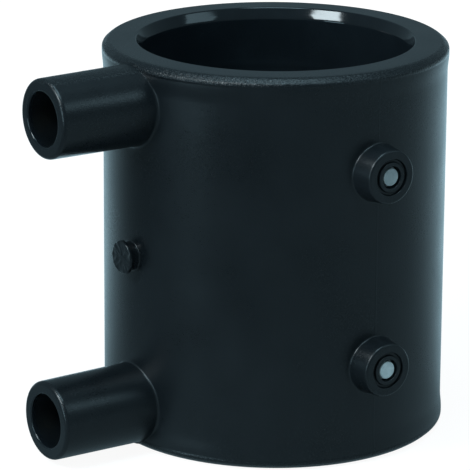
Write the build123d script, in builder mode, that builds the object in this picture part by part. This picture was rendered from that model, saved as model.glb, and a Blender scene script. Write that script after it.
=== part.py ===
"""Electrofusion coupler for 63 mm polyethylene pipe.

A thick moulded sleeve takes a pipe in each end, up to the stop ring at mid length. A resistance
wire is wound just behind the wall of each socket, and its two ends are held by contact pins in
the two terminal shrouds. Two indicator pins sit in bosses a quarter turn from the shrouds.

The coupler stands on its lower end face. The origin is where the sleeve axis meets that face,
+Z is up the axis, the terminals point to -X and the indicators to -Y. Millimetres.
"""

import os
from math import cos, pi, sin

from build123d import *

# Pipe and sleeve
pipe_diameter = 63.0
socket_clearance = 0.6  # radial, between the pipe and the socket wall
wall_thickness = 9.1
coupler_length = 95.0

# Bead round each end of the sleeve
lip_height = 2.4
lip_round = 1.6

# Tapered mouth of each socket
lead_in_depth = 2.9
lead_in_width = 1.4

# Ring that stops both pipes at mid length
stop_width = 2.4
stop_height = 2.2

# Heating winding
wire_thickness = 1.0
winding_pitch = 5.0
winding_turns = 5
chords_per_turn = 24  # the wire is modelled as short straight lengths
winding_cover = 0.6  # skin between the socket and the bed of the winding
winding_gap = 0.05  # between the wire and the walls of its bed
winding_end_room = 0.4  # bed beyond the first and last turn

# Terminal shrouds
shroud_height = 24.6
shroud_mouth_radius = 9.5
shroud_root_radius = 9.8  # where the taper starts, at the socket wall
shroud_bore_radius = 6.5
shroud_rim_round = 1.0
shroud_bore_chamfer = 0.4
shroud_root_chamfer = 0.5
shroud_well_depth = 21.0

# Contact pins
contact_radius = 2.35
contact_length = 14.0
contact_tip_chamfer = 0.5
contact_root_radius = 3.0  # where it is moulded into the wall
wire_tail_radius = 0.5
wire_tail_depth = 3.0

# Indicator bosses and their pins
indicator_inset = 24.0  # from each end face
boss_height = 5.4
boss_face_radius = 6.4
boss_root_radius = 7.9  # where the taper starts, at the socket wall
boss_rim_round = 0.6
groove_radius = 4.35
groove_width = 0.8
groove_depth = 0.8
indicator_hole_radius = 2.65
indicator_hole_depth = 10.5
indicator_clearance = 0.05
indicator_head_radius = 2.1
indicator_head_height = 1.6
indicator_recess = 0.35

# Stub left by the moulding gate
gate_height = 3.3
gate_neck_radius = 3.4
gate_head_radius = 4.1
gate_head_thickness = 1.0

# Derived sizes
bore_radius = pipe_diameter / 2 + socket_clearance
sleeve_radius = bore_radius + wall_thickness
mouth_radius = bore_radius + lead_in_width
mid_height = coupler_length / 2

# The bead's round is centred so that its middle edge lies on the sleeve's surface
lip_proud = lip_round * (1 - cos(pi / 4))
lip_radius = sleeve_radius + lip_proud

# The flats of the wire's chords come nearer the axis than their corners
bed_inner_radius = bore_radius + winding_cover
wire_inner_radius = (bed_inner_radius + winding_gap) / cos(pi / chords_per_turn)
wire_radius = wire_inner_radius + wire_thickness / 2
bed_outer_radius = wire_radius + wire_thickness / 2 + winding_gap
bed_width = bed_outer_radius - bed_inner_radius
bed_radius = (bed_inner_radius + bed_outer_radius) / 2

terminal_inset = shroud_root_radius + shroud_root_chamfer + lip_proud
terminal_heights = (terminal_inset, coupler_length - terminal_inset)
shroud_mouth = sleeve_radius + shroud_height
well_floor = shroud_mouth - shroud_well_depth

winding_height = winding_pitch * winding_turns
winding_starts = (terminal_inset, coupler_length - terminal_inset - winding_height)
bed_height = winding_height + wire_thickness + 2 * winding_end_room
bridge_length = winding_starts[1] - winding_starts[0] - winding_height

indicator_heights = (indicator_inset, coupler_length - indicator_inset)
boss_face = sleeve_radius + boss_height
hole_floor = boss_face - indicator_hole_depth

gate_face = sleeve_radius + gate_height

ROUND_STEPS = 2  # cones that make up each turned edge
TERMINAL_SIDE = Vector(-1, 0, 0)
INDICATOR_SIDE = Vector(0, -1, 0)
UP = Vector(0, 0, 1)


def radial_plane(direction, height):
    """Upright plane through the sleeve axis: local X runs outwards, local Y runs up."""
    return Plane(origin=(0, 0, height), x_dir=direction, z_dir=direction.cross(UP))


def radial_axis(direction, height):
    """Axis of whatever is turned about a line pointing outwards from the sleeve axis."""
    return Axis((0, 0, height), direction)


def rounded_corner(x, y, radius, inward_y=-1):
    """Points that round an outline's corner at (x, y), on its way from level y to the side x."""
    angles = [pi / 2 * step / ROUND_STEPS for step in range(ROUND_STEPS + 1)]
    return [
        (x - radius + radius * sin(angle), y + inward_y * radius * (1 - cos(angle)))
        for angle in angles
    ]


with BuildPart() as coupler_body:
    # Solid blank between the faces where the end beads take over
    with BuildSketch(Plane.XY.offset(lip_proud)):
        Circle(sleeve_radius)
    extrude(amount=coupler_length - 2 * lip_proud)

    # Terminal shrouds, tapering towards the mouth
    for height in terminal_heights:
        with BuildSketch(radial_plane(TERMINAL_SIDE, height)):
            with BuildLine():
                Polyline(
                    (bore_radius, 0),
                    (bore_radius, shroud_root_radius),
                    *rounded_corner(shroud_mouth, shroud_mouth_radius, shroud_rim_round),
                    (shroud_mouth, 0),
                    close=True,
                )
            make_face()
        revolve(axis=radial_axis(TERMINAL_SIDE, height))
        chamfer(coupler_body.edges(Select.NEW), length=shroud_root_chamfer)

    # Indicator bosses
    for height in indicator_heights:
        with BuildSketch(radial_plane(INDICATOR_SIDE, height)):
            with BuildLine():
                Polyline(
                    (bore_radius, 0),
                    (bore_radius, boss_root_radius),
                    *rounded_corner(boss_face, boss_face_radius, boss_rim_round),
                    (boss_face, 0),
                    close=True,
                )
            make_face()
        revolve(axis=radial_axis(INDICATOR_SIDE, height))

    # Gate stub: a neck with a wider sheared head
    with BuildSketch(radial_plane(TERMINAL_SIDE, mid_height)):
        with BuildLine():
            Polyline(
                (bore_radius, 0),
                (bore_radius, gate_neck_radius),
                (gate_face - gate_head_thickness, gate_neck_radius),
                (gate_face - gate_head_thickness, gate_head_radius),
                (gate_face, gate_head_radius),
                (gate_face, 0),
                close=True,
            )
        make_face()
    revolve(axis=radial_axis(TERMINAL_SIDE, mid_height))

    # Bead at each end
    for end, inward in ((0, 1), (coupler_length, -1)):
        with BuildSketch(Plane.XZ):
            with BuildLine():
                Polyline(
                    (0, end),
                    *rounded_corner(lip_radius, end, lip_round, inward_y=inward),
                    (lip_radius, end + inward * lip_height),
                    (0, end + inward * lip_height),
                    close=True,
                )
            make_face()
        revolve()

    # Both sockets, each with a tapered mouth and the stop ring at its bottom
    with BuildSketch(Plane.XZ):
        with BuildLine():
            Polyline(
                (0, 0),
                (mouth_radius, 0),
                (bore_radius, lead_in_depth),
                (bore_radius, coupler_length - lead_in_depth),
                (mouth_radius, coupler_length),
                (0, coupler_length),
                close=True,
            )
        make_face()
        with Locations((bore_radius - stop_height / 2, mid_height)):
            Rectangle(stop_height, stop_width, mode=Mode.SUBTRACT)
    revolve(mode=Mode.SUBTRACT)

    # Closed beds of the windings, and the channel between them
    with BuildSketch(Plane.XZ):
        for start in winding_starts:
            with Locations((bed_radius, start + winding_height / 2)):
                Rectangle(bed_width, bed_height)
    revolve(mode=Mode.SUBTRACT)
    with BuildSketch(Plane.XY.offset(mid_height - bridge_length / 2)):
        with Locations(TERMINAL_SIDE * bed_radius):
            Rectangle(bed_width, wire_thickness + 2 * winding_gap)
    extrude(amount=bridge_length, mode=Mode.SUBTRACT)

    # Terminal wells, each with the seat of its contact pin through the floor
    for height in terminal_heights:
        with BuildSketch(radial_plane(TERMINAL_SIDE, height)):
            with BuildLine():
                Polyline(
                    (bed_radius, 0),
                    (bed_radius, contact_root_radius),
                    (well_floor, contact_root_radius),
                    (well_floor, shroud_bore_radius),
                    (shroud_mouth - shroud_bore_chamfer, shroud_bore_radius),
                    (shroud_mouth, shroud_bore_radius + shroud_bore_chamfer),
                    (shroud_mouth, 0),
                    close=True,
                )
            make_face()
        revolve(axis=radial_axis(TERMINAL_SIDE, height), mode=Mode.SUBTRACT)

    # Indicator holes, each inside a groove that leaves a thin ring standing
    for height in indicator_heights:
        with BuildSketch(radial_plane(INDICATOR_SIDE, height)):
            with Locations(((hole_floor + boss_face) / 2, indicator_hole_radius / 2)):
                Rectangle(indicator_hole_depth, indicator_hole_radius)
            with Locations((boss_face - groove_depth / 2, groove_radius - groove_width / 2)):
                Rectangle(groove_depth, groove_width)
        revolve(axis=radial_axis(INDICATOR_SIDE, height), mode=Mode.SUBTRACT)

# One length of resistance wire: two windings, the run that joins them, and a tail at each end
with BuildPart() as heating_coil:
    for start in winding_starts:
        helix = Helix(winding_pitch, winding_height, wire_radius, mode=Mode.PRIVATE)
        helix = helix.rotate(Axis.Z, 180).translate(UP * start)
        chord_count = winding_turns * chords_per_turn
        for chord in range(chord_count + 1):
            point = helix @ (chord / chord_count)
            outwards = Vector(point.X, point.Y, 0)
            with BuildSketch(Plane(point, x_dir=outwards, z_dir=helix % (chord / chord_count))):
                Rectangle(wire_thickness, wire_thickness)
        loft(ruled=True)

    with BuildSketch(Plane.XY.offset(mid_height - bridge_length / 2)):
        with Locations(TERMINAL_SIDE * wire_radius):
            Rectangle(wire_thickness, wire_thickness)
    extrude(amount=bridge_length)

    for height in terminal_heights:
        tail_length = bed_outer_radius + wire_tail_depth - wire_radius
        with BuildSketch(radial_plane(TERMINAL_SIDE, height)):
            with Locations((wire_radius + tail_length / 2, wire_tail_radius / 2)):
                Rectangle(tail_length, wire_tail_radius)
        revolve(axis=radial_axis(TERMINAL_SIDE, height))


def contact_pin(height):
    """Turned brass pin moulded into the wall, with the wire's tail held in its bored foot."""
    tip = well_floor + contact_length
    with BuildPart() as pin:
        with BuildSketch(radial_plane(TERMINAL_SIDE, height)):
            with BuildLine():
                Polyline(
                    (bed_outer_radius, 0),
                    (bed_outer_radius, contact_root_radius),
                    (well_floor, contact_root_radius),
                    (well_floor, contact_radius),
                    (tip - contact_tip_chamfer, contact_radius),
                    (tip, contact_radius - contact_tip_chamfer),
                    (tip, 0),
                    close=True,
                )
            make_face()
            with Locations((bed_outer_radius + wire_tail_depth / 2, wire_tail_radius / 2)):
                Rectangle(wire_tail_depth, wire_tail_radius, mode=Mode.SUBTRACT)
        revolve(axis=radial_axis(TERMINAL_SIDE, height))
    return pin.part


def indicator_pin(height):
    """Moulded pin that stands on the floor of its hole, with a narrower visible head."""
    shank_radius = indicator_hole_radius - indicator_clearance
    tip = boss_face - indicator_recess
    with BuildPart() as pin:
        with BuildSketch(radial_plane(INDICATOR_SIDE, height)):
            with BuildLine():
                Polyline(
                    (hole_floor, 0),
                    (hole_floor, shank_radius),
                    (tip - indicator_head_height, shank_radius),
                    (tip - indicator_head_height, indicator_head_radius),
                    (tip, indicator_head_radius),
                    (tip, 0),
                    close=True,
                )
            make_face()
        revolve(axis=radial_axis(INDICATOR_SIDE, height))
    return pin.part


pieces = {"coupler_body": coupler_body.part, "heating_coil": heating_coil.part}
for end, terminal_height, indicator_height in zip(
    ("lower", "upper"), terminal_heights, indicator_heights
):
    pieces[f"{end}_terminal_pin"] = contact_pin(terminal_height)
    pieces[f"{end}_indicator_pin"] = indicator_pin(indicator_height)

os.makedirs("parts", exist_ok=True)
for name, piece in pieces.items():
    piece.label = name
    export_step(piece, f"parts/{name}.step")
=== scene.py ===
"""Electrofusion coupler: the finished surfaces, the studio and the camera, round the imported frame."""
import math

import bmesh
import bpy
from mathutils import Matrix, Vector, noise


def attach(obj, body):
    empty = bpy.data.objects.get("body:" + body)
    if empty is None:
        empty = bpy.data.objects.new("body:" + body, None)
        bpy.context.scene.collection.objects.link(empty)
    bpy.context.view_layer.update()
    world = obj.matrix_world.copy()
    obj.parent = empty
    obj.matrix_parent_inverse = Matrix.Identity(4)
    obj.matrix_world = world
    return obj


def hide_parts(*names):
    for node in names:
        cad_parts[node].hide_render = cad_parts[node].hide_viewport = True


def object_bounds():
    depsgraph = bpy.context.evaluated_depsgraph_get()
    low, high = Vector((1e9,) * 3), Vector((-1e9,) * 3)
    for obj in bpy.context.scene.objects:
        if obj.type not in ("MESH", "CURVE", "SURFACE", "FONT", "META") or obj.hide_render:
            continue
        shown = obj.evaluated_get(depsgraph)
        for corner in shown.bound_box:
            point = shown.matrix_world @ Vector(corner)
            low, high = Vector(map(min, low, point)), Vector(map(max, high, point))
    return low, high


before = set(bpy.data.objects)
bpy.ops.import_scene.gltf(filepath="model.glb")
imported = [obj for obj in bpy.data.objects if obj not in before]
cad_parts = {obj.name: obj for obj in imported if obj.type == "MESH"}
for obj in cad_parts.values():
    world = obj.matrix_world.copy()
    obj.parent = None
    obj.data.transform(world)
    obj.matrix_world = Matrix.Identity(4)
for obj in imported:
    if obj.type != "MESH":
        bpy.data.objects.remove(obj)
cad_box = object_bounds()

MM = 0.001

# ---- Sizes in millimetres: the solids' own, apart from SLEEVE_R, LEAD_IN and the lip, which
# ---- follow the photographed surfaces more closely. A depth is counted from an end face.
LENGTH = 95.0
MID = LENGTH / 2
BORE_R = 32.1
SLEEVE_R = 41.35
LIP_R = min(cad_box[1][0], cad_box[1][1]) / MM
# The lip's curves as (inwards from LIP_R, depth): a shoulder worn to a slope, then a tight edge
LIP_SHOULDER = ((2.6, 0.0), (1.4, 0.0), (1.0, 0.5), (0.34, 1.08))
LIP_EDGE = ((0.34, 1.08), (0.34, 1.08), (0.0, 1.3), (0.0, 2.0))
LIP_FLAT_R = 36.5
HEEL_FROM = 2.6
HEEL_TO = 7.0
STRAIGHT_FROM = 8.5
MOUTH_R = 33.5
MOUTH_EDGE = 0.3
LEAD_IN = 2.5
STOP_R = 29.9
STOP_HALF = 1.2
STOP_ROUND = 0.35
WINDING_PITCH = 5.0
WINDING_FROM = 10.5
WINDING_TO = 36.5
RIDGE_HEIGHT = 0.07
RIDGE_FADE = 4.0
RIDGE_STEP = 0.55

TERMINAL_INSET = 10.769
SHROUD_MOUTH = -cad_box[0][0] / MM
SHROUD_RIM_R = 9.5
SHROUD_ROOT_R = 9.8
SHROUD_ROUND = 1.0
# The root's fillet beside the shroud, how much tighter it is on top, and what it is near an end
SHROUD_FILLET = 1.05
SHROUD_FILLET_LESS = 0.35
SHROUD_FILLET_TIGHT = 0.55
WELL_FLOOR = SHROUD_MOUTH - 21.0
WELL_R = 6.5
WELL_EDGE = 0.4
WELL_ROUND = 0.6
POLISH_DEPTH = 2.5
PIN_R = 2.35
PIN_ROOT_R = 3.0
PIN_TIP = WELL_FLOOR + 14.0

INDICATOR_INSET = 24.0
BOSS_FACE = 46.6
BOSS_RIM_R = 6.4
BOSS_ROOT_R = 7.9
BOSS_ROUND = 0.6
BOSS_FILLET = 0.6
GROOVE_OUTER_R = 4.35
GROOVE_INNER_R = 3.55
GROOVE_ROUND = 0.25
HOLE_R = 2.65
HEAD_R = 2.1
HEAD_RECESS = 0.35
HEAD_HEIGHT = 1.6

GATE_FACE = 44.5
GATE_NECK_R = 3.4
GATE_HEAD_R = 4.1
GATE_FILLET = 0.7

# Radii closer than this belong to the same surface
SAME_R = 0.004

TERMINAL_SIDE = Vector((-1.0, 0.0, 0.0))
INDICATOR_SIDE = Vector((0.0, -1.0, 0.0))
UP = Vector((0.0, 0.0, 1.0))


# ---- Mesh helpers: a skin is a list of rings, each ring a list of points in millimetres

def eased_share(t):
    """A share from 0 to 1 that starts and ends level."""
    return t * t * (3 - 2 * t)


def clamped(value):
    """A value held between 0 and 1."""
    return max(0.0, min(1.0, value))


def arc(centre, radius, start, end, steps):
    """Points on an arc in a profile's plane; angles in degrees."""
    points = []
    for step in range(steps + 1):
        angle = math.radians(start + (end - start) * step / steps)
        points.append((centre[0] + radius * math.cos(angle), centre[1] + radius * math.sin(angle)))
    return points


def curve(controls, steps):
    """Points along a Bezier curve of any degree, both ends included."""
    points = []
    for step in range(steps + 1):
        level = [Vector(point) for point in controls]
        while len(level) > 1:
            level = [low.lerp(high, step / steps) for low, high in zip(level, level[1:])]
        points.append(level[0])
    return points


def eased(first, last, steps):
    """Points that pass smoothly from one upright line to another, as (radius, height)."""
    points = []
    for step in range(steps + 1):
        t = step / steps
        points.append((first[0] + (last[0] - first[0]) * eased_share(t),
                       first[1] + (last[1] - first[1]) * t))
    return points


def skin(name, rings, closed=False):
    """A mesh object from rings of equal length, joined end to end if closed and capped if not."""
    mesh = bpy.data.meshes.new(name)
    form = bmesh.new()
    rows = [[form.verts.new(Vector(point) * MM) for point in ring] for ring in rings]
    pairs = list(zip(rows, rows[1:]))
    if closed:
        pairs.append((rows[-1], rows[0]))
    for low, high in pairs:
        count = len(low)
        for i in range(count):
            j = (i + 1) % count
            form.faces.new((low[i], low[j], high[j], high[i]))
    if not closed:
        form.faces.new(list(reversed(rows[0])))
        form.faces.new(rows[-1])
    bmesh.ops.recalc_face_normals(form, faces=form.faces)
    form.to_mesh(mesh)
    form.free()
    piece = bpy.data.objects.new(name, mesh)
    bpy.context.collection.objects.link(piece)
    return piece


def turned_rings(profile, direction, height, segments, warp=None):
    """Rings of (distance, radius) points turned about a line pointing outwards from the sleeve."""
    across = direction.cross(UP)
    rings = []
    for distance, radius in profile:
        ring = []
        for i in range(segments):
            angle = math.tau * i / segments
            d, r = (distance, radius) if warp is None else warp(distance, radius, angle)
            ring.append(direction * d + across * (r * math.cos(angle))
                        + UP * (height + r * math.sin(angle)))
        rings.append(ring)
    return rings


def root_rings(direction, height, segments, radius, slope, blend, steps):
    """Rings that blend the sleeve's surface into a wall of the given radius and inward slope.

    blend gives the fillet's radius for the sine of the angle above the wall's own level.
    """
    buried = 1.5
    reach_share = 0.56
    least_span = 0.2 * math.sqrt(2)
    across = direction.cross(UP)
    rings = [[] for _ in range(steps + 2)]
    for i in range(segments):
        angle = math.tau * i / segments
        side, rise = math.cos(angle), math.sin(angle)
        fillet = blend(rise)
        y = (radius + fillet) * side
        x = math.sqrt((SLEEVE_R + fillet) ** 2 - y * y)
        scale = SLEEVE_R / (SLEEVE_R + fillet)
        foot = direction * (x * scale) + across * (y * scale) + UP * (height + (radius + fillet) * rise)
        wall_r = radius - slope * (x - SLEEVE_R)
        top = direction * x + across * (wall_r * side) + UP * (height + wall_r * rise)
        outward = Vector((foot.x, foot.y, 0)).normalized()
        lean = top - foot
        lean = (lean - outward * lean.dot(outward)).normalized()
        run = (direction - (across * side + UP * rise) * slope).normalized()
        reach = reach_share * max((top - foot).length, least_span * fillet)
        rings[0].append(foot - outward * buried)
        blended = curve((foot, foot + lean * reach, top - run * reach, top), steps)
        for ring, point in zip(rings[1:], blended):
            ring.append(point)
    return rings


# ---- The moulding

def ridge(depth, z, angle):
    """How far the bore's wall stands in over the winding, which fades at both its ends."""
    fade = clamped((depth - WINDING_FROM) / RIDGE_FADE) * clamped((WINDING_TO - depth) / RIDGE_FADE)
    turn = (z / WINDING_PITCH - angle / math.tau) % 1.0
    return RIDGE_HEIGHT * fade * max(0.0, math.cos(math.tau * turn)) ** 2


def sleeve():
    """Sleeve with its lips, tapered mouths, stop ring, and the faint ridges over the winding."""
    stop_face = MID + STOP_HALF
    # Half of the section, from the stop ring up the bore, over the lip and down the outside
    half = [(STOP_R, MID), (STOP_R, stop_face - 0.5)]
    half += arc((STOP_R + STOP_ROUND, stop_face - STOP_ROUND), STOP_ROUND, 180, 90, 4)
    half += [(STOP_R + 1.2, stop_face)]
    half += arc((BORE_R - STOP_ROUND, stop_face + STOP_ROUND), STOP_ROUND, -90, 0, 4)
    half += [(BORE_R, MID + 4.0)]
    # Close rings only where the winding shows as ridges
    depth = WINDING_TO + 0.5
    while depth > WINDING_FROM - 0.5:
        half.append((BORE_R, LENGTH - depth))
        depth -= RIDGE_STEP

    cone_foot = LENGTH - LEAD_IN
    half += [(BORE_R, cone_foot - 0.6), (BORE_R + 0.02, cone_foot - 0.2), (BORE_R + 0.12, cone_foot + 0.22)]
    # The cone, and its slightly eased corner with the end face
    slant = Vector((MOUTH_R - BORE_R, LEAD_IN)).normalized()
    corner = Vector((MOUTH_R, LENGTH))
    half += [corner - slant * (0.75 / slant.x)]
    half += curve((corner - slant * MOUTH_EDGE, corner, corner + Vector((MOUTH_EDGE, 0))), 5)
    half += [(MOUTH_R + 0.7, LENGTH), (LIP_FLAT_R, LENGTH)]
    lip = curve(LIP_SHOULDER, 10) + curve(LIP_EDGE, 6)[1:]
    half += [(LIP_R - inwards, LENGTH - depth) for inwards, depth in lip]
    half += eased((LIP_R, LENGTH - HEEL_FROM), (SLEEVE_R, LENGTH - HEEL_TO), 8)
    half += [(SLEEVE_R, LENGTH - STRAIGHT_FROM), (SLEEVE_R, MID + 20), (SLEEVE_R, MID + 8)]

    # The mirrored half runs back up the bore, so both meet at the stop ring
    profile = half + [(r, LENGTH - z) for r, z in reversed(half)][:-1]
    rings = []
    segments = 288
    for r, z in profile:
        ring = []
        for i in range(segments):
            # Half a facet round, so that no seam runs along the middle of a shroud or boss
            angle = math.tau * (i + 0.5) / segments
            in_bore = abs(r - BORE_R) < SAME_R
            radius = r - ridge(min(z, LENGTH - z), z, angle) if in_bore else r
            ring.append((radius * math.cos(angle), radius * math.sin(angle), z))
        rings.append(ring)
    return skin("sleeve", rings, closed=True)


def terminal_shroud(name, height):
    """Shroud with its root blend, rounded rim and the well round the contact pin."""
    segments = 208
    # How much the wall's radius grows for each millimetre towards the sleeve
    slope = (SHROUD_ROOT_R - SHROUD_RIM_R) / (SHROUD_MOUTH - BORE_R)
    root_r = SHROUD_ROOT_R - slope * (SLEEVE_R - BORE_R)
    towards_end = 1 if height > MID else -1

    def blend(rise):
        """A fillet tighter above than below, and tight where the sleeve's end comes near."""
        near = eased_share(clamped((rise * towards_end - 0.45) / 0.5))
        away = SHROUD_FILLET - SHROUD_FILLET_LESS * rise
        return away * (1 - near) + SHROUD_FILLET_TIGHT * near

    rings = root_rings(TERMINAL_SIDE, height, segments, root_r, slope, blend, 9)
    profile = [(SHROUD_MOUTH - back, SHROUD_RIM_R + slope * back) for back in (20.5, 14.0, 8.0, 2.2)]
    profile += arc((SHROUD_MOUTH - SHROUD_ROUND, SHROUD_RIM_R - SHROUD_ROUND), SHROUD_ROUND, 90, 0, 10)
    profile += [(SHROUD_MOUTH, WELL_R + 0.9)]
    profile += arc((SHROUD_MOUTH - WELL_EDGE, WELL_R + WELL_EDGE), WELL_EDGE, 0, -90, 5)
    profile += [(SHROUD_MOUTH - 1.2, WELL_R), (WELL_FLOOR + 8, WELL_R), (WELL_FLOOR + 1.4, WELL_R)]
    profile += arc((WELL_FLOOR + WELL_ROUND, WELL_R - WELL_ROUND), WELL_ROUND, 90, 180, 4)
    profile += [(WELL_FLOOR, 4.5), (WELL_FLOOR, PIN_ROOT_R + 0.15)]
    profile += [(WELL_FLOOR - 0.15, PIN_ROOT_R), (WELL_FLOOR - 1.0, PIN_ROOT_R)]
    rings += turned_rings(profile, TERMINAL_SIDE, height, segments)
    return skin(name, rings)


def indicator_boss(name, height):
    """Boss with a rounded rim, and a groove that leaves a thin ring standing round the hole."""
    segments = 160
    face = BOSS_FACE
    slope = (BOSS_ROOT_R - BOSS_RIM_R) / (face - BORE_R)
    root_r = BOSS_ROOT_R - slope * (SLEEVE_R - BORE_R)
    groove = face - 0.55
    rings = root_rings(INDICATOR_SIDE, height, segments, root_r, slope, lambda rise: BOSS_FILLET, 7)
    profile = [(face - back, BOSS_RIM_R + slope * back) for back in (3.2, 1.2)]
    profile += arc((face - BOSS_ROUND, BOSS_RIM_R - BOSS_ROUND + 0.02), BOSS_ROUND, 84, 0, 7)
    profile += [(face, 5.2), (face, GROOVE_OUTER_R + 0.35)]
    profile += arc((face - 0.2, GROOVE_OUTER_R + 0.2), 0.2, 0, -90, 3)
    profile += [(face - 0.45, GROOVE_OUTER_R)]
    profile += arc((groove, GROOVE_OUTER_R - GROOVE_ROUND), GROOVE_ROUND, 90, 180, 3)
    profile += arc((groove, GROOVE_INNER_R + GROOVE_ROUND), GROOVE_ROUND, 180, 270, 3)
    profile += [(face - 0.35, GROOVE_INNER_R)]
    profile += arc((face - 0.18, GROOVE_INNER_R - 0.18), 0.18, 90, 0, 3)
    profile += [(face, HOLE_R + 0.45)]
    profile += arc((face - 0.15, HOLE_R + 0.15), 0.15, 0, -90, 3)
    profile += [(face - 0.6, HOLE_R), (face - 3.4, HOLE_R)]
    rings += turned_rings(profile, INDICATOR_SIDE, height, segments)
    return skin(name, rings)


def gate_stub():
    """Neck with a wider head whose sheared face is uneven."""
    segments = 112
    face = GATE_FACE

    def sheared(distance, radius, angle):
        """Pushes the head's edge and face about, as where a tool cut them."""
        if distance < face - 1.05:
            return distance, radius
        seed = Vector((radius * math.cos(angle), radius * math.sin(angle), 3.7))
        dent = noise.noise(seed * 0.9) * 0.16 + noise.noise(seed * 2.3) * 0.07
        rim = noise.noise(Vector((math.cos(angle), math.sin(angle), 1.3)) * 1.7)
        return distance - 0.16 + dent * 0.9, radius * (1 - 0.02 + 0.02 * rim)

    rings = root_rings(TERMINAL_SIDE, MID, segments, GATE_NECK_R, 0.0, lambda rise: GATE_FILLET, 6)
    profile = [(face - 1.5, GATE_NECK_R), (face - 1.2, GATE_NECK_R + 0.02), (face - 1.0, GATE_NECK_R + 0.2)]
    profile += arc((face - 0.7, GATE_HEAD_R - 0.25), 0.25, 180, 90, 3)
    profile += [(face - 0.45, GATE_HEAD_R)]
    profile += arc((face - 0.3, GATE_HEAD_R - 0.3), 0.3, 90, 0, 4)
    profile += [(face, r) for r in (3.3, 2.8, 2.3, 1.8, 1.3, 0.8, 0.35)]
    rings += turned_rings(profile, TERMINAL_SIDE, MID, segments, warp=sheared)
    return skin("gate", rings)


def united(base, additions):
    """The base made one closed mesh with what stands on it, all in one step."""
    joined = bmesh.new()
    for addition in additions:
        joined.from_mesh(addition.data)
        bpy.data.objects.remove(addition)
    mesh = bpy.data.meshes.new("additions")
    joined.to_mesh(mesh)
    joined.free()
    tool = bpy.data.objects.new("additions", mesh)
    bpy.context.collection.objects.link(tool)
    step = base.modifiers.new("union", "BOOLEAN")
    step.operation = "UNION"
    step.solver = "EXACT"
    step.object = tool
    evaluated = base.evaluated_get(bpy.context.evaluated_depsgraph_get())
    result = bpy.data.meshes.new_from_object(evaluated)
    base.modifiers.clear()
    base.data = result
    bpy.data.objects.remove(tool)
    return base


def smooth(piece, wall=False):
    """Smooth shading that follows the large faces, and the true cylinder on the sleeve's wall."""
    mesh = piece.data
    mesh.shade_smooth()
    normals = [Vector() for _ in mesh.vertices]
    for face in mesh.polygons:
        push = face.normal * face.area
        for index in face.vertices:
            normals[index] += push
    wall_from = STRAIGHT_FROM + 0.1
    for vertex, normal in zip(mesh.vertices, normals):
        x, y, z = vertex.co / MM
        on_wall = abs(math.hypot(x, y) - SLEEVE_R) < SAME_R and wall_from < z < LENGTH - wall_from
        if wall and on_wall:
            normal[:] = (x, y, 0)
        normal.normalize()
    mesh.normals_split_custom_set_from_vertices(normals)
    return piece


terminal_heights = (TERMINAL_INSET, LENGTH - TERMINAL_INSET)
indicator_heights = (INDICATOR_INSET, LENGTH - INDICATOR_INSET)

additions = [terminal_shroud(f"shroud_{i}", z) for i, z in enumerate(terminal_heights)]
additions += [indicator_boss(f"boss_{i}", z) for i, z in enumerate(indicator_heights)]
additions.append(gate_stub())
body = united(sleeve(), additions)
body.name = "moulded_body"
smooth(body, wall=True)


# ---- The pins

def contact_pin(name, height):
    """Turned pin with an eased tip."""
    tip = PIN_TIP
    profile = [(WELL_FLOOR - 0.9, PIN_ROOT_R - 0.02), (WELL_FLOOR - 0.1, PIN_ROOT_R - 0.02)]
    profile += [(WELL_FLOOR - 0.02, PIN_ROOT_R - 0.1), (WELL_FLOOR - 0.02, PIN_R + 0.1)]
    profile += [(WELL_FLOOR + 0.08, PIN_R), (WELL_FLOOR + 5, PIN_R), (tip - 1.2, PIN_R)]
    profile += [(tip - 0.55, PIN_R), (tip - 0.45, PIN_R - 0.04), (tip - 0.08, PIN_R - 0.4)]
    profile += [(tip - 0.01, PIN_R - 0.5), (tip, PIN_R - 0.62), (tip, 1.0), (tip, 0.3)]
    rings = turned_rings(profile, TERMINAL_SIDE, height, 72)
    return smooth(skin(name, rings))


def indicator_pin(name, height):
    """Moulded pin whose head has an eased edge and a slightly hollow face."""
    tip = BOSS_FACE - HEAD_RECESS
    shoulder = tip - HEAD_HEIGHT
    shank = HOLE_R - 0.05
    edge = 0.18
    profile = [(shoulder - 1.2, shank), (shoulder - 0.1, shank), (shoulder, shank - 0.1)]
    profile += [(shoulder, HEAD_R + 0.1), (shoulder + 0.1, HEAD_R), (tip - 0.5, HEAD_R)]
    profile += arc((tip - edge, HEAD_R - edge), edge, 90, 0, 4)
    profile += [(tip, 1.7), (tip - 0.03, 1.3), (tip - 0.05, 0.8), (tip - 0.05, 0.25)]
    rings = turned_rings(profile, INDICATOR_SIDE, height, 72)
    return smooth(skin(name, rings))


contacts = {}
indicators = {}
for end, terminal_z, indicator_z in zip(("lower", "upper"), terminal_heights, indicator_heights):
    contacts[end] = contact_pin(f"{end}_contact", terminal_z)
    indicators[end] = indicator_pin(f"{end}_indicator", indicator_z)


# ---- Materials: texture scales are per metre, bump distances in metres

def material(name):
    """An empty node material: (material, nodes, links, output)."""
    mat = bpy.data.materials.new(name)
    mat.use_nodes = True
    nodes = mat.node_tree.nodes
    nodes.clear()
    output = nodes.new("ShaderNodeOutputMaterial")
    return mat, nodes, mat.node_tree.links, output


def principled(name):
    """A surface material: (material, nodes, links, shader, the object's coordinates)."""
    mat, nodes, links, output = material(name)
    shader = nodes.new("ShaderNodeBsdfPrincipled")
    links.new(shader.outputs["BSDF"], output.inputs["Surface"])
    coords = nodes.new("ShaderNodeTexCoord").outputs["Object"]
    return mat, nodes, links, shader, coords


def noise_value(nodes, links, coords, scale, detail=2.0, rough=0.5):
    """Noise on the given coordinates."""
    node = nodes.new("ShaderNodeTexNoise")
    node.inputs["Scale"].default_value = scale
    node.inputs["Detail"].default_value = detail
    node.inputs["Roughness"].default_value = rough
    links.new(coords, node.inputs["Vector"])
    return node.outputs["Fac"]


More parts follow.
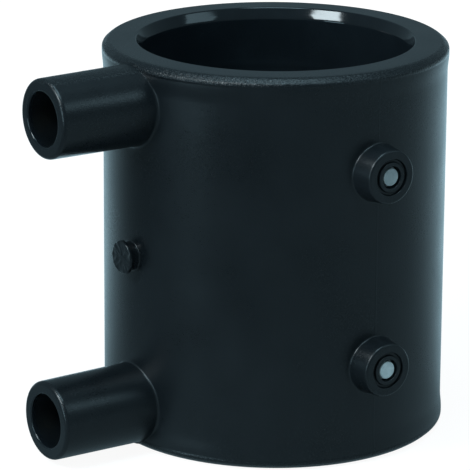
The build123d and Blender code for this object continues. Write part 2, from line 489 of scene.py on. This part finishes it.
def stretched(nodes, links, coords, scale):
    """Coordinates scaled on each axis, which draws a texture out where the scale is small."""
    node = nodes.new("ShaderNodeMapping")
    node.inputs["Scale"].default_value = scale
    links.new(coords, node.inputs["Vector"])
    return node.outputs["Vector"]


def ranged(nodes, links, value, low, high, to_low, to_high):
    """A value moved from one range to another, clamped."""
    node = nodes.new("ShaderNodeMapRange")
    for key, number in (("From Min", low), ("From Max", high), ("To Min", to_low), ("To Max", to_high)):
        node.inputs[key].default_value = number
    links.new(value, node.inputs["Value"])
    return node.outputs["Result"]


def ramp(nodes, links, value, stops):
    """A colour ramp with the given (position, colour) stops."""
    node = nodes.new("ShaderNodeValToRGB")
    node.color_ramp.elements[0].position = stops[0][0]
    node.color_ramp.elements[0].color = (*stops[0][1], 1)
    node.color_ramp.elements[1].position = stops[-1][0]
    node.color_ramp.elements[1].color = (*stops[-1][1], 1)
    for position, colour in stops[1:-1]:
        node.color_ramp.elements.new(position).color = (*colour, 1)
    links.new(value, node.inputs["Fac"])
    return node.outputs["Color"]


def bump(nodes, links, height, strength, distance, normal=None):
    """The normal bumped by a height."""
    node = nodes.new("ShaderNodeBump")
    node.inputs["Strength"].default_value = strength
    node.inputs["Distance"].default_value = distance
    links.new(height, node.inputs["Height"])
    if normal is not None:
        links.new(normal, node.inputs["Normal"])
    return node.outputs["Normal"]


def arithmetic(nodes, links, operation, *operands):
    """A math node; each operand is a socket or a number."""
    node = nodes.new("ShaderNodeMath")
    node.operation = operation
    for slot_index, operand in enumerate(operands):
        if isinstance(operand, (int, float)):
            node.inputs[slot_index].default_value = operand
        else:
            links.new(operand, node.inputs[slot_index])
    return node.outputs["Value"]


PLASTIC_IOR = 1.45


def black_polyethylene():
    """Satin black moulding: fine grain, faint streaks along the draw, scuffed lips, a parting line."""
    mat, nodes, links, shader, coords = principled("black_polyethylene")
    axes = nodes.new("ShaderNodeSeparateXYZ")
    links.new(coords, axes.inputs["Vector"])
    x, y, z = axes.outputs["X"], axes.outputs["Y"], axes.outputs["Z"]

    def maths(operation, *operands):
        return arithmetic(nodes, links, operation, *operands)

    radius = maths("SQRT", maths("ADD", maths("MULTIPLY", x, x), maths("MULTIPLY", y, y)))
    from_mid = maths("ABSOLUTE", maths("SUBTRACT", z, MID * MM))

    grain = noise_value(nodes, links, coords, 2600, detail=3.0, rough=0.6)
    cloud = noise_value(nodes, links, coords, 60, detail=3.0, rough=0.55)
    streak = noise_value(nodes, links, stretched(nodes, links, coords, (1.0, 1.0, 0.04)), 900)

    # The worn lip at each end, deep and wide enough: 1 on it, 0 elsewhere
    high = ranged(nodes, links, from_mid, (MID - 2.4) * MM, (MID - 1.9) * MM, 0, 1)
    wide = ranged(nodes, links, radius, 39.4 * MM, 40.0 * MM, 0, 1)
    lip = maths("MULTIPLY", high, wide)
    # The smooth mouth and bore, shaped by a polished core; the same mask places the bore's painted light
    core = ranged(nodes, links, radius, (MOUTH_R - 0.15) * MM, MOUTH_R * MM, 1, 0)

    colour = ramp(nodes, links, cloud, [
        (0.3, (0.0042, 0.0060, 0.0076)),
        (0.55, (0.0054, 0.0077, 0.0096)),
        (0.8, (0.0074, 0.0101, 0.0125))])
    # Painted light: the bore mirrors nothing bright, so its colour is made up to 1.6 times paler there, on
    # the same black plastic
    painted_bore_light = nodes.new("ShaderNodeVectorMath")
    painted_bore_light.operation = "SCALE"
    links.new(colour, painted_bore_light.inputs[0])
    links.new(maths("ADD", 1.0, maths("MULTIPLY", core, 0.6)), painted_bore_light.inputs["Scale"])
    links.new(painted_bore_light.outputs["Vector"], shader.inputs["Base Color"])

    rough = ranged(nodes, links, cloud, 0.3, 0.7, 0.27, 0.33)
    rough = maths("ADD", rough, ranged(nodes, links, grain, 0.3, 0.7, -0.03, 0.05))
    rough = maths("SUBTRACT", rough, maths("MULTIPLY", core, 0.20))
    rough = maths("SUBTRACT", rough, maths("MULTIPLY", lip, 0.04))
    links.new(rough, shader.inputs["Roughness"])

    scuffs = maths("MULTIPLY", noise_value(nodes, links, coords, 1500, detail=3.0, rough=0.7), lip)
    seam = ranged(nodes, links, maths("ABSOLUTE", x), 0.08 * MM, 0.28 * MM, 1, 0)
    seam = maths("MULTIPLY", seam, ranged(nodes, links, radius, 40.0 * MM, 40.8 * MM, 0, 1))
    outside = maths("SUBTRACT", 1.0, core)
    normal = bump(nodes, links, maths("MULTIPLY", grain, outside), 0.6, 0.00005)
    normal = bump(nodes, links, maths("MULTIPLY", streak, outside), 0.12, 0.00005, normal)
    normal = bump(nodes, links, cloud, 0.06, 0.0003, normal)
    normal = bump(nodes, links, scuffs, 1.0, 0.00022, normal)
    normal = bump(nodes, links, seam, 0.35, 0.00006, normal)
    links.new(normal, shader.inputs["Normal"])
    shader.inputs["IOR"].default_value = PLASTIC_IOR
    return mat


def polished_polyethylene():
    """The tapered mouths and the wells' rims, shaped by polished cores: glossier, with fine rings."""
    mat, nodes, links, shader, coords = principled("polished_polyethylene")
    cloud = noise_value(nodes, links, coords, 140, detail=3.0, rough=0.55)
    # Its colour is paler than the moulding's: painted light that lifts the dark mouths and well rims
    colour = ramp(nodes, links, cloud, [(0.3, (0.0052, 0.0072, 0.0090)), (0.8, (0.0078, 0.0106, 0.0132))])
    links.new(colour, shader.inputs["Base Color"])
    links.new(ranged(nodes, links, cloud, 0.3, 0.7, 0.07, 0.13), shader.inputs["Roughness"])
    rings = noise_value(nodes, links, stretched(nodes, links, coords, (0.05, 0.05, 1.0)), 2500)
    normal = bump(nodes, links, rings, 0.08, 0.00002)
    links.new(bump(nodes, links, cloud, 0.05, 0.0003, normal), shader.inputs["Normal"])
    shader.inputs["IOR"].default_value = PLASTIC_IOR
    return mat


def indicator_plastic(name, painted_lightness):
    """Grey moulded plastic, a little mottled and grained."""
    mat, nodes, links, shader, coords = principled(name)
    mottle = noise_value(nodes, links, coords, 700, detail=3.0, rough=0.6)
    tones = ((0.3, (0.22, 0.26, 0.265)), (0.55, (0.28, 0.32, 0.325)), (0.8, (0.34, 0.38, 0.385)))
    # The tones are scaled by a factor, which paints light on one pin's copy of the same grey
    colour = ramp(nodes, links, mottle, [
        (position, tuple(channel * painted_lightness for channel in tone)) for position, tone in tones])
    links.new(colour, shader.inputs["Base Color"])
    links.new(ranged(nodes, links, mottle, 0.3, 0.7, 0.42, 0.55), shader.inputs["Roughness"])
    grain = noise_value(nodes, links, coords, 3500)
    links.new(bump(nodes, links, grain, 0.25, 0.00003), shader.inputs["Normal"])
    return mat


def contact_brass():
    """Turned brass: rings left by the tool, slightly tarnished."""
    mat, nodes, links, shader, coords = principled("contact_brass")
    tarnish = noise_value(nodes, links, coords, 350, detail=4.0, rough=0.6)
    colour = ramp(nodes, links, tarnish, [
        (0.3, (0.45, 0.30, 0.13)), (0.6, (0.70, 0.52, 0.24)), (0.85, (0.80, 0.63, 0.32))])
    links.new(colour, shader.inputs["Base Color"])
    shader.inputs["Metallic"].default_value = 1.0
    links.new(ranged(nodes, links, tarnish, 0.3, 0.7, 0.42, 0.28), shader.inputs["Roughness"])
    rings = nodes.new("ShaderNodeTexWave")
    rings.bands_direction = "X"
    rings.inputs["Scale"].default_value = 900
    rings.inputs["Distortion"].default_value = 1.5
    links.new(coords, rings.inputs["Vector"])
    links.new(bump(nodes, links, rings.outputs["Fac"], 0.2, 0.00002), shader.inputs["Normal"])
    return mat


def resistance_wire():
    """Drawn copper-nickel wire, mottled by its marks."""
    mat, nodes, links, shader, coords = principled("resistance_wire")
    marks = noise_value(nodes, links, coords, 900, detail=3.0, rough=0.6)
    colour = ramp(nodes, links, marks, [(0.3, (0.42, 0.27, 0.19)), (0.8, (0.66, 0.44, 0.32))])
    links.new(colour, shader.inputs["Base Color"])
    shader.inputs["Metallic"].default_value = 1.0
    links.new(ranged(nodes, links, marks, 0.3, 0.7, 0.4, 0.28), shader.inputs["Roughness"])
    return mat


def dress(piece, mat):
    """Gives a piece or a CAD node one material."""
    piece.data.materials.clear()
    piece.data.materials.append(mat)


def is_polished(x, y, z):
    """Whether a place on the body, in millimetres, is in a tapered mouth or on a well's rim."""
    in_mouth = math.hypot(x, y) < MOUTH_R + 0.05 and min(z, LENGTH - z) < LEAD_IN + 0.1
    from_pin = min(math.hypot(y, z - height) for height in terminal_heights)
    return in_mouth or (x < POLISH_DEPTH - SHROUD_MOUTH and from_pin < WELL_R + WELL_EDGE - 0.02)


# The lower pin's copy of the same grey is 1.7 times paler: painted light, which shows it brighter than the
# upper one
grey = {"upper": indicator_plastic("upper_indicator_plastic", 1.0),
        "lower": indicator_plastic("lower_indicator_plastic", 1.7)}
brass = contact_brass()
dress(body, black_polyethylene())
body.data.materials.append(polished_polyethylene())
for face in body.data.polygons:
    if is_polished(*(face.center / MM)):
        face.material_index = 1
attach(body, "root")
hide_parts("coupler_body")
for end in ("lower", "upper"):
    dress(contacts[end], brass)
    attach(contacts[end], "root")
    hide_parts(f"{end}_terminal_pin")
    dress(indicators[end], grey[end])
    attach(indicators[end], "root")
    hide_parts(f"{end}_indicator_pin")
dress(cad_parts["heating_coil"], resistance_wire())


# ---- Camera: where the photographer stood, round the object's centre; degrees and metres.
# ---- The values were fitted to the outlines of the rims, shrouds and bosses.

VIEW_ANGLE = -125.66
VIEW_ELEVATION = 16.382
VIEW_DISTANCE = 0.82603
VIEW_PAN = 0.65452
VIEW_TILT = -0.12477
VIEW_ROLL = -0.53955
SENSOR_WIDTH = 36
LENS = 259.744

centre = Vector((0, 0, MID * MM))


def direction_at(angle, elevation):
    """The direction at an angle round the object and an elevation, in degrees."""
    around, rise = math.radians(angle), math.radians(elevation)
    return Vector((math.cos(rise) * math.cos(around), math.cos(rise) * math.sin(around), math.sin(rise)))


def beside_camera(degrees, elevation, distance):
    """A point at an angle to the right of the camera, as seen from above."""
    return centre + direction_at(VIEW_ANGLE + degrees, elevation) * distance


def turned(vector, axis, degrees):
    """A vector turned about an axis."""
    return Matrix.Rotation(math.radians(degrees), 3, axis) @ vector


outward = direction_at(VIEW_ANGLE, VIEW_ELEVATION)
forward = -outward
right = direction_at(VIEW_ANGLE + 90, 0)
up = right.cross(forward)
forward, right = turned(forward, up, VIEW_PAN), turned(right, up, VIEW_PAN)
forward, up = turned(forward, right, VIEW_TILT), turned(up, right, VIEW_TILT)
right, up = turned(right, forward, VIEW_ROLL), turned(up, forward, VIEW_ROLL)
camera_data = bpy.data.cameras.new("camera")
camera_data.sensor_width = SENSOR_WIDTH
camera_data.lens = LENS
camera_data.clip_start = 0.01
camera = bpy.data.objects.new("camera", camera_data)
placement = Matrix((right, up, -forward)).transposed().to_4x4()
placement.translation = centre + outward * VIEW_DISTANCE
camera.matrix_world = placement
bpy.context.collection.objects.link(camera)
bpy.context.scene.camera = camera


# ---- Studio: a floor, five soft lamps and an even world

COOL = (0.80, 0.94, 1.0)
TINTED = (0.60, 0.92, 1.07)
WORLD_LEVEL = 0.20
FLOOR_SIZE = 8
FLOOR_DROP = 0.02 * MM
# The floor's painted glow in reflections, which is painted light: behind the object, more for each metre to
# its right, near the object and away from it, the least, and the share that is left under the object as
# painted shade
PAPER_BEHIND = 1.5
PAPER_BESIDE = 0.65
PAPER_NEAR = 0.34
PAPER_AWAY = 0.22
PAPER_LEAST = 0.14
PAPER_SHADE_UNDER = 0.15
# The floor's own white as the camera sees it, and how much of it is glow near the object
WHITE_GLOW = 1.14
GLOW_SHARE = 0.82
# Each lamp: degrees to the right of the camera, elevation and metres; size in metres; radiance; tone
LAMPS = {
    "key": ((-51.5, 41.4, 0.9), (0.34, 0.20), 22, COOL),
    "overhead": ((0, 79, 0.8), (0.40, 0.40), 5.8, TINTED),
    "left_front": ((-53, 7, 0.7), (0.22, 0.22), 5.0, TINTED),
    "right_high": ((77, 36, 0.8), (0.35, 0.20), 1.9, TINTED),
    "back": ((180, 14, 1.0), (1.2, 0.32), 0.04, TINTED)}


def studio_floor():
    """Pale sweep: white to the camera, with the object's shadow on it.

    As in the photograph's studio, the paper is brightest behind the object and to its right,
    and falls off towards the front and the left, which the glossy plastic mirrors.
    """
    bpy.ops.mesh.primitive_plane_add(size=FLOOR_SIZE, location=(0, 0, -FLOOR_DROP))
    floor = bpy.context.object
    floor.name = "studio_floor"
    mat, nodes, links, output = material("studio_white")
    path = nodes.new("ShaderNodeLightPath").outputs
    place = nodes.new("ShaderNodeTexCoord").outputs["Object"]

    def maths(operation, *operands):
        return arithmetic(nodes, links, operation, *operands)

    def along(direction):
        """Metres from the axis in a level direction."""
        node = nodes.new("ShaderNodeVectorMath")
        node.operation = "DOT_PRODUCT"
        node.inputs[1].default_value = direction
        links.new(place, node.inputs[0])
        return node.outputs["Value"]

    def mixed(fac, first, second):
        node = nodes.new("ShaderNodeMixShader")
        links.new(fac, node.inputs["Fac"])
        links.new(first, node.inputs[1])
        links.new(second, node.inputs[2])
        return node.outputs["Shader"]

    length = nodes.new("ShaderNodeVectorMath")
    length.operation = "LENGTH"
    links.new(place, length.inputs[0])
    distance = length.outputs["Value"]

    # The painted light that the plastic mirrors, with painted shade under the object, where little light
    # reaches
    behind = direction_at(VIEW_ANGLE + 180, 0)
    beside = direction_at(VIEW_ANGLE + 90, 0)
    facing = maths("MAXIMUM", maths("DIVIDE", along(behind), distance), 0.0)
    level = maths("MULTIPLY", maths("MULTIPLY", facing, facing), PAPER_BEHIND)
    level = maths("ADD", level, maths("MULTIPLY", along(beside), PAPER_BESIDE))
    level = maths("ADD", level, ranged(nodes, links, distance, 0.05, 0.20, PAPER_NEAR, PAPER_AWAY))
    level = maths("MULTIPLY", level, ranged(nodes, links, distance, 0.3, 0.7, 1.0, 0.35))
    level = maths("MAXIMUM", level, PAPER_LEAST)
    level = maths("MULTIPLY", level, ranged(nodes, links, distance, 0.030, 0.041, PAPER_SHADE_UNDER, 1.0))

    # An emission that only glossy rays see: painted light in place of a lit floor
    painted_glow = nodes.new("ShaderNodeEmission")
    painted_glow.inputs["Color"].default_value = (*TINTED, 1)
    links.new(level, painted_glow.inputs["Strength"])
    matt = nodes.new("ShaderNodeBsdfDiffuse")
    matt.inputs["Color"].default_value = (0.8, 0.8, 0.8, 1)
    glow = nodes.new("ShaderNodeEmission")
    glow.inputs["Strength"].default_value = WHITE_GLOW
    # Near the object a fifth of the floor's white comes from the lamps, so its shadow shows
    share = ranged(nodes, links, distance, 0.12, 0.6, GLOW_SHARE, 1.0)

    unseen = mixed(path["Is Glossy Ray"], matt.outputs["BSDF"], painted_glow.outputs["Emission"])
    white = mixed(share, matt.outputs["BSDF"], glow.outputs["Emission"])
    seen = maths("MAXIMUM", path["Is Camera Ray"], path["Is Transmission Ray"])
    links.new(mixed(seen, unseen, white), output.inputs["Surface"])
    dress(floor, mat)


def softbox(name, location, size, radiance, tone):
    """A rectangular area light aimed at the object; its radiance is against white at 1."""
    data = bpy.data.lights.new(name, "AREA")
    data.shape = "RECTANGLE"
    data.size, data.size_y = size
    data.energy = radiance * math.pi * size[0] * size[1]
    data.color = tone
    lamp = bpy.data.objects.new(name, data)
    lamp.visible_camera = False
    lamp.location = location
    lamp.rotation_euler = (centre - location).to_track_quat("-Z", "Y").to_euler()
    bpy.context.collection.objects.link(lamp)


studio_floor()
for name, (bearing, size, radiance, tone) in LAMPS.items():
    softbox(name, beside_camera(*bearing), size, radiance, tone)

world = bpy.data.worlds.new("studio")
world.use_nodes = True
world.node_tree.nodes["Background"].inputs["Color"].default_value = (*TINTED, 1)
world.node_tree.nodes["Background"].inputs["Strength"].default_value = WORLD_LEVEL
bpy.context.scene.world = world
bpy.context.scene.view_settings.view_transform = "Standard"
